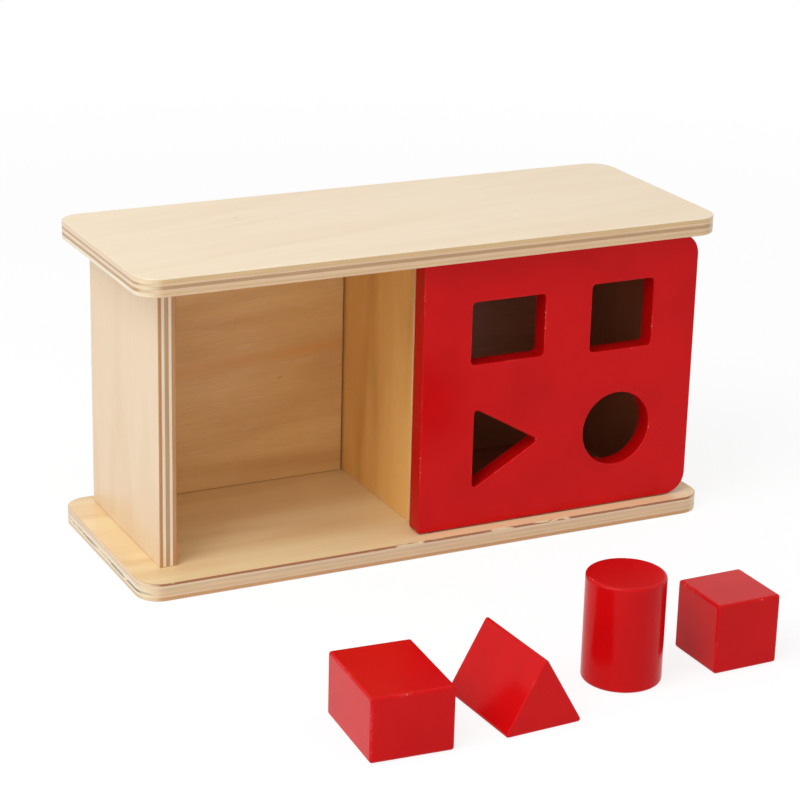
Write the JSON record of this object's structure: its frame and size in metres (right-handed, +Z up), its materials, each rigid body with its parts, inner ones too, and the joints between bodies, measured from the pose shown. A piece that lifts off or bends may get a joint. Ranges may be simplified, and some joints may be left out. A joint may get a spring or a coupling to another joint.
{
  "type": "object permanence box",
  "caption": "Plywood box with open compartments, a red door with shaped holes that flips about a middle pivot to close either side, and loose red blocks that pass through the holes.",
  "frame": {"origin": "middle of the base board's underside", "axes": "+X to the right along the boards, towards the closed compartment; +Y to the back; +Z up"},
  "size_m": [0.31, 0.3089, 0.159],
  "materials": {
    "birch_plywood": "pale plywood under clear matt lacquer",
    "beech": "plain turned wood",
    "zinc_steel": "bright zinc",
    "nylon": "black",
    "red_lacquer": "opaque red satin lacquer over wood"
  },
  "bodies": {
    "box": {"base_board": "birch_plywood", "top_board": "birch_plywood", "left_wall": "birch_plywood", "right_wall": "birch_plywood", "divider": "birch_plywood", "left_back_panel": "birch_plywood", "right_back_panel": "birch_plywood", "wall_dowels": "beech", "panel_dowels": "beech", "wall_screws": "zinc_steel", "panel_screws": "zinc_steel", "lower_pivot_pin": "zinc_steel", "upper_pivot_pin": "zinc_steel", "lower_pivot_washer": "nylon"},
    "door": {"flip_door": "red_lacquer", "upper_pivot_washer": "nylon"},
    "rectangular_block": {"rectangular_block": "red_lacquer"},
    "triangular_block": {"triangular_block": "red_lacquer"},
    "round_block": {"round_block": "red_lacquer"},
    "cube_block": {"cube_block": "red_lacquer"}
  },
  "joints": [
    {"name": "door_flip", "type": "hinge", "parent": "box", "child": "door", "pos_m": [0, -0.04745, 0], "axis": [0, 0, -1], "range_deg": [0, 180]},
    {"name": "rectangular_block_lift", "type": "slide", "parent": "box", "child": "rectangular_block", "axis": [0, 0, 1], "range_m": [0, 0.2]},
    {"name": "triangular_block_lift", "type": "slide", "parent": "box", "child": "triangular_block", "axis": [0, 0, 1], "range_m": [0, 0.2]},
    {"name": "round_block_lift", "type": "slide", "parent": "box", "child": "round_block", "axis": [0, 0, 1], "range_m": [0, 0.2]},
    {"name": "cube_block_lift", "type": "slide", "parent": "box", "child": "cube_block", "axis": [0, 0, 1], "range_m": [0, 0.2]}
  ]
}
